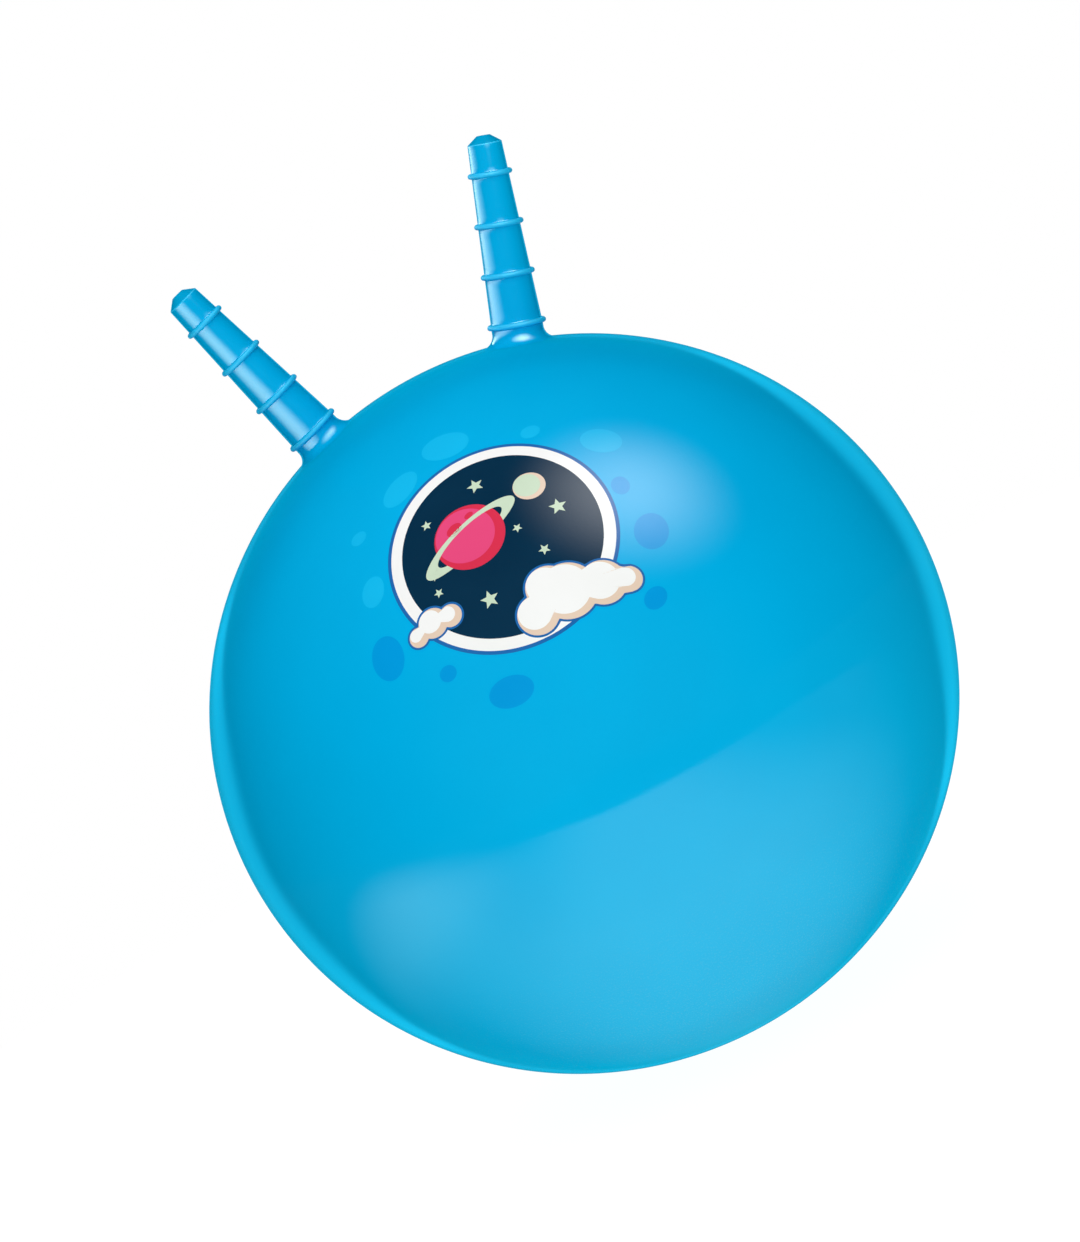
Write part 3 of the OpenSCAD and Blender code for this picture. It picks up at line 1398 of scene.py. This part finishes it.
@dataclass(frozen=True)
class View:
    """The camera of the photograph. The ball's place and the focal length are in its pixels."""

    middle_z: float
    image_width: int = 1080
    image_height: int = 1242
    ball_at_x: float = 584.22
    ball_at_y: float = 702.97
    distance: float = 3.0
    elevation: float = 9.0
    roll: float = 27.5
    focal_pixels: float = 5013.0
    sensor: float = 36.0
    clip: Range = (0.1, 50.0)

    def axes(self) -> tuple[Vector, Vector, Vector]:
        """Gives the directions right, up and toward the camera, before the camera is rolled."""
        rise = math.radians(self.elevation)
        right = Vector((1.0, 0.0, 0.0))
        toward = Vector((0.0, -math.cos(rise), math.sin(rise)))
        return right, toward.cross(right), toward

    def build(self) -> None:
        """Makes the camera, rolled as in the photograph, with the ball at its place in the frame."""
        right, up, toward = self.axes()
        axes = Matrix((right, up, toward)).transposed()
        # The camera rolls clockwise, so that what stands upright leans to the left.
        rolled = axes @ Matrix.Rotation(-math.radians(self.roll), 3, "Z")
        aside = (self.ball_at_x - self.image_width / 2) / self.focal_pixels
        below = (self.ball_at_y - self.image_height / 2) / self.focal_pixels
        # In the camera's own axes the ball lies at (aside, -below, -1), so the camera turns that
        # direction onto the ball.
        wanted = Vector((aside, -below, -1.0)).normalized()
        turn = wanted.rotation_difference(Vector((0.0, 0.0, -1.0))).to_matrix()
        data = bpy.data.cameras.new("camera")
        data.sensor_width = self.sensor
        data.lens = self.focal_pixels * self.sensor / max(self.image_width, self.image_height)
        data.clip_start, data.clip_end = self.clip
        camera = bpy.data.objects.new("camera", data)
        bpy.context.scene.collection.objects.link(camera)
        place = Vector((0.0, 0.0, self.middle_z)) + toward * self.distance
        camera.matrix_world = Matrix.Translation(place) @ (rolled @ turn).to_4x4()
        bpy.context.scene.camera = camera


@dataclass(frozen=True)
class Floor:
    """The white floor: bright to the camera, a soft bounce from below, and a lit pool in mirrors.

    A fade gives the two distances, from the middle of the ball unless a name says otherwise,
    between which something changes.
    """

    radius: float = 1.3
    sides: int = 128
    paper: float = 0.1
    white: float = 0.96
    bounce: Colour = (0.98, 1.13, 1.02)
    bounce_fade: Range = (0.2, 1.1)
    bounce_strength: Range = (1.03, 0.6)
    pool_colour: Colour = (0.97, 1.5, 1.25)
    pool_glow: float = 0.88
    pool_radius: float = 0.645
    pool_blur: float = 0.025
    front_fade: Range = (0.03, 0.27)
    side_fade: Range = (0.05, 0.45)
    side_share: float = 0.1
    right_fade: Range = (0.2, 0.6)
    right_growth: float = 0.045
    left_fade: Range = (0.0, 0.5)
    left_growth: float = 0.1
    left_blur: float = 0.13
    patch_at: Triple = (-0.58, -0.28, 0.0)
    patch_scale: Triple = (0.6, 1.0, 1.0)
    patch_radius: float = 0.42
    patch_glow: float = 0.98
    patch_fade: Range = (0.18, 0.45)

    def _mirrored(self, graph: Graph, place: Socket) -> Socket:
        """Draws the floor as glossy pieces mirror it: a lit pool in front, and a soft patch left of it.

        Args:
            graph: The floor's graph.
            place: Socket with the coordinates.

        Returns:
            The brightness's socket.
        """
        parts = graph.add("ShaderNodeSeparateXYZ", place).outputs
        x, y = parts["X"], parts["Y"]
        leftward = graph.math("MULTIPLY", x, -1.0)
        ahead = graph.ramp(graph.math("MULTIPLY", y, -1.0), *self.front_fade)
        aside = graph.ramp(graph.math("ABSOLUTE", x), *self.side_fade, 1.0, self.side_share)
        growth = graph.ramp(x, *self.right_fade, 0.0, self.right_growth)
        wider = graph.math("ADD", growth, self.pool_radius)
        left = graph.ramp(leftward, *self.left_fade)
        edge = graph.math("MULTIPLY_ADD", left, self.left_growth, wider)
        blurred = graph.math("ADD", wider, self.pool_blur)
        soft_edge = graph.math("MULTIPLY_ADD", left, self.left_blur, blurred)
        pool = graph.ramp(graph.distance(place), edge, soft_edge, self.pool_glow, 0.0)
        lit = graph.math("MULTIPLY", graph.math("MULTIPLY", ahead, aside), pool)
        patch = graph.distance(place, self.patch_at, self.patch_scale)
        patch = graph.ramp(patch, 0.0, self.patch_radius, self.patch_glow, 0.0)
        glow = graph.math("MULTIPLY", patch, graph.ramp(leftward, *self.patch_fade))
        return graph.math("ADD", lit, glow)

    def build(self) -> None:
        """Makes the floor, which keeps a faint shadow under the ball."""
        deselect_all()
        bpy.ops.mesh.primitive_circle_add(vertices=self.sides, radius=self.radius, fill_type="NGON")
        floor = bpy.context.object
        floor.name = "floor"
        material, graph = new_material("white floor")
        nodes = material.node_tree.nodes
        nodes.remove(nodes["Principled BSDF"])
        place = graph.add("ShaderNodeTexCoord").outputs["Object"]
        rays = graph.add("ShaderNodeLightPath").outputs
        paper = graph.out("ShaderNodeBsdfDiffuse", rgba((self.paper,) * 3))
        white = graph.out("ShaderNodeEmission", rgba(WHITE), self.white)
        seen = graph.out("ShaderNodeAddShader", paper, white)
        bounce = graph.ramp(graph.distance(place), *self.bounce_fade, *self.bounce_strength)
        bounced = graph.out("ShaderNodeEmission", rgba(self.bounce), bounce)
        pool = graph.out("ShaderNodeEmission", rgba(self.pool_colour), self._mirrored(graph, place))
        # Beside the pool a mirrored ray goes on to the sky, so that the rim runs round the ball.
        onward = graph.out("ShaderNodeBsdfTransparent")
        mirrored = graph.out("ShaderNodeAddShader", onward, pool)
        unseen = graph.out("ShaderNodeMixShader", rays["Is Glossy Ray"], bounced, mirrored)
        surface = graph.out("ShaderNodeMixShader", rays["Is Camera Ray"], unseen, seen)
        graph.wire(nodes["Material Output"], Surface=surface)
        dress(floor, material)


@dataclass(frozen=True)
class Sky:
    """The surroundings: white to the camera, a broad fill, and what glossy pieces mirror.

    They mirror one soft box up to the right, a blue rim all round and a faint veil behind. A
    spread gives how closely a direction matches another, from -1 to 1, where something starts
    and where it is full.
    """

    front_spread: Range = (0.415, 0.907)
    front_fill: Range = (0.02, 1.39)
    above_spread: Range = (0.4, 1.0)
    above_fill: float = 1.35
    back_spread: Range = (0.7, 0.85)
    back_fill: float = 1.3
    box_right: float = 0.572
    box_up: float = 0.742
    box_toward: float = 0.35
    box_half_angle: float = 32.0
    box_falloff: float = 2.5
    box_strength: float = 4.2
    rim_colour: Colour = (0.02, 0.78, 1.18)
    rim_width: float = 0.67
    rim_height: float = 0.33
    rim_power: float = 4.0
    rim_inner_fade: Range = (0.04, 0.56)
    rim_inner_share: float = 0.5
    rim_outer_fade: Range = (0.72, 1.15)
    rim_end_spread: Range = (-0.06, 0.06)
    rim_end_share: float = 0.6
    rim_back_spread: Range = (0.0, 0.2)
    veil_colour: Colour = (0.0, 0.33, 0.48)
    veil_angles: Range = (46.0, 12.0)

    def build(self, view: View) -> None:
        """Makes the surroundings.

        Args:
            view: The camera's view, which they are laid out round.
        """
        world = bpy.data.worlds.new("studio")
        bpy.context.scene.world = world
        world.use_nodes = True
        world.cycles.sampling_method = "NONE"
        graph = Graph(world.node_tree)
        right, up, toward = view.axes()
        direction = graph.add("ShaderNodeTexCoord").outputs["Generated"]
        rays = graph.add("ShaderNodeLightPath").outputs

        def facing(way: Vector) -> Socket:
            """How closely the sky's direction matches a way, from -1 to 1."""
            return graph.measure("DOT_PRODUCT", direction, way)

        behind = facing(-toward)
        front = graph.ramp(facing(toward), *self.front_spread, *self.front_fill)
        above = graph.ramp(facing(Vector((0.0, 0.0, 1.0))), *self.above_spread, 0.0, self.above_fill)
        back = graph.ramp(behind, *self.back_spread, 0.0, self.back_fill)
        fill = graph.math("ADD", graph.math("ADD", front, above), back)

        box = (right * self.box_right + up * self.box_up + toward * self.box_toward).normalized()
        edge = math.cos(math.radians(self.box_half_angle))
        spread = graph.math("DIVIDE", graph.math("SUBTRACT", facing(box), edge), 1 - edge, clamp=True)
        power = graph.math("POWER", spread, self.box_falloff)
        shine = graph.math("MULTIPLY", power, self.box_strength)

        # The rim follows a squared ellipse, and is weaker at its top and bottom.
        beside, over = (graph.math("ABSOLUTE", facing(way)) for way in (right, up))
        wide = graph.math("POWER", graph.math("DIVIDE", beside, self.rim_width), self.rim_power)
        high = graph.math("POWER", graph.math("DIVIDE", over, self.rim_height), self.rim_power)
        far = graph.math("SQRT", graph.math("ADD", wide, high))
        inner = graph.ramp(far, *self.rim_inner_fade, self.rim_inner_share, 1.0)
        outer = graph.ramp(far, *self.rim_outer_fade, 1.0, 0.0)
        upright = graph.math("SUBTRACT", over, beside)
        ends = graph.ramp(upright, *self.rim_end_spread, 1.0, self.rim_end_share)
        band = graph.math("MULTIPLY", graph.math("MULTIPLY", inner, outer), ends)
        band = graph.math("MULTIPLY", band, graph.ramp(behind, *self.rim_back_spread))
        rim = graph.mix(band, rgba(BLACK), rgba(self.rim_colour))

        start, full = (math.cos(math.radians(angle)) for angle in self.veil_angles)
        veil = graph.mix(graph.ramp(behind, start, full), rgba(BLACK), rgba(self.veil_colour))
        mirrored = graph.mix(1.0, graph.mix(1.0, rim, veil, "LIGHTEN"), shine, "ADD")
        lit = graph.mix(rays["Is Glossy Ray"], fill, mirrored)
        seen = graph.mix(rays["Is Camera Ray"], lit, rgba(WHITE))
        graph.wire(world.node_tree.nodes["Background"], Color=seen)


@dataclass(frozen=True)
class HornLight:
    """A soft light that one horn mirrors and that lights nothing else.

    The bearing is measured round the horn from the camera's side, to the left. The rise is
    measured from the plane square to the horn.
    """

    name: str
    bearing: float
    rise: float
    radiance: Colour
    width: float
    length: float
    distance: float = 0.5
    up_horn: float = 60 * MM
    oval: bool = False
    roll: float = 0.0

    def _frame(self, horn: Horn, toward: Vector) -> tuple[Vector, Matrix]:
        """Finds the light's place and how it is turned.

        Args:
            horn: The horn that it shines on.
            toward: Direction from the ball to the camera.

        Returns:
            The light's place, and its axes as the columns of a matrix.
        """
        along = horn.along
        front = (toward - along * toward.dot(along)).normalized()
        left = along.cross(front)
        if left.x > 0:
            left = -left
        bearing, rise = math.radians(self.bearing), math.radians(self.rise)
        level = front * math.cos(bearing) + left * math.sin(bearing)
        way = level * math.cos(rise) + along * math.sin(rise)
        across = along.cross(way).normalized()
        turn = Matrix((across, way.cross(across), way)).transposed()
        turn = turn @ Matrix.Rotation(math.radians(self.roll), 3, "Z")
        return horn.root + along * self.up_horn + way * self.distance, turn

    def build(self, horn: Horn, toward: Vector, lit: bpy.types.Object) -> None:
        """Makes the light.

        Args:
            horn: The horn that it shines on.
            toward: Direction from the ball to the camera.
            lit: The horn's piece.
        """
        data = bpy.data.lights.new(self.name, "AREA")
        data.shape = "ELLIPSE" if self.oval else "RECTANGLE"
        data.size, data.size_y = self.width, self.length
        area = self.width * self.length * (math.pi / 4 if self.oval else 1.0)
        strongest = max(self.radiance)
        data.color = [part / strongest for part in self.radiance]
        data.energy = strongest * math.pi * area
        data.use_nodes = True
        graph = Graph(data.node_tree)
        # The light fades from its middle to its edge, or a strip to its long edges only.
        at = graph.add("ShaderNodeNewGeometry").outputs["Parametric"]
        away = graph.distance(at, (0.5, 0.5, 0.0), (1.0, 1.0 if self.oval else 0.0, 0.0))
        graph.wire(data.node_tree.nodes["Emission"], Strength=graph.ramp(away, 0.0, 0.5, 1.0, 0.0))
        light = bpy.data.objects.new(self.name, data)
        bpy.context.scene.collection.objects.link(light)
        place, turn = self._frame(horn, toward)
        light.matrix_world = Matrix.Translation(place) @ turn.to_4x4()
        light.visible_diffuse = False
        light.visible_camera = False
        receivers = bpy.data.collections.new(f"lit by {self.name}")
        receivers.objects.link(lit)
        light.light_linking.receiver_collection = receivers


def horn_lights(side: Side) -> list[HornLight]:
    """Lays out the two lights of a horn: a strip down its side and a spot at its foot.

    Args:
        side: The side that the horn is on.

    Returns:
        The lights.
    """
    spot = {"rise": 50.0, "width": 1.0, "length": 1.05, "distance": 0.6, "up_horn": 0.0, "oval": True}
    if side is Side.LEFT:
        return [
            HornLight("left strip", 46.0, -9.0, radiance=(5.8, 7.4, 6.4), width=1.1, length=0.7),
            HornLight("left spot", -47.0, radiance=(6.0, 8.0, 7.0), **spot),
        ]
    return [
        HornLight("right strip", 88.0, -9.0, radiance=(4.3, 6.6, 6.8), width=0.46, length=2.4, roll=68.0),
        HornLight("right spot", -14.0, radiance=(13.0, 16.0, 14.0), **spot),
    ]


def report(piece: bpy.types.Object) -> None:
    """Logs the name and the number of triangles of a piece."""
    triangles = sum(len(face.vertices) - 2 for face in piece.data.polygons)
    log.info("%s: %d triangles", piece.name, triangles)


def main() -> None:
    """Builds the ball piece by piece, dresses it and sets up the studio."""
    logging.basicConfig(level=logging.INFO, format="%(name)s %(message)s")
    SharedEffects().build()
    shell = BallShell()
    horns = [Horn(side, shell.form) for side in Side]
    skin = shell.build(horns)
    dress(skin, Paint.SKIN.material())
    grips = [horn.build() for horn in horns]
    seat = ValveSeat(shell.form).build()
    dress(seat, Paint.SEAT.material())
    plug = Plug(shell.form).build()
    dress(plug, Paint.PLUG.material())
    patches = Print(shell.form).build()
    for piece in [skin, *grips, seat, plug, *patches]:
        report(piece)
    view = View(shell.form.centre_z)
    Floor().build()
    Sky().build(view)
    view.build()
    settings = bpy.context.scene.view_settings
    settings.view_transform = "Standard"
    settings.look = "None"
    toward = view.axes()[2]
    for horn, grip in zip(horns, grips):
        for light in horn_lights(horn.side):
            light.build(horn, toward, grip)


if __name__ == "__main__":
    main()
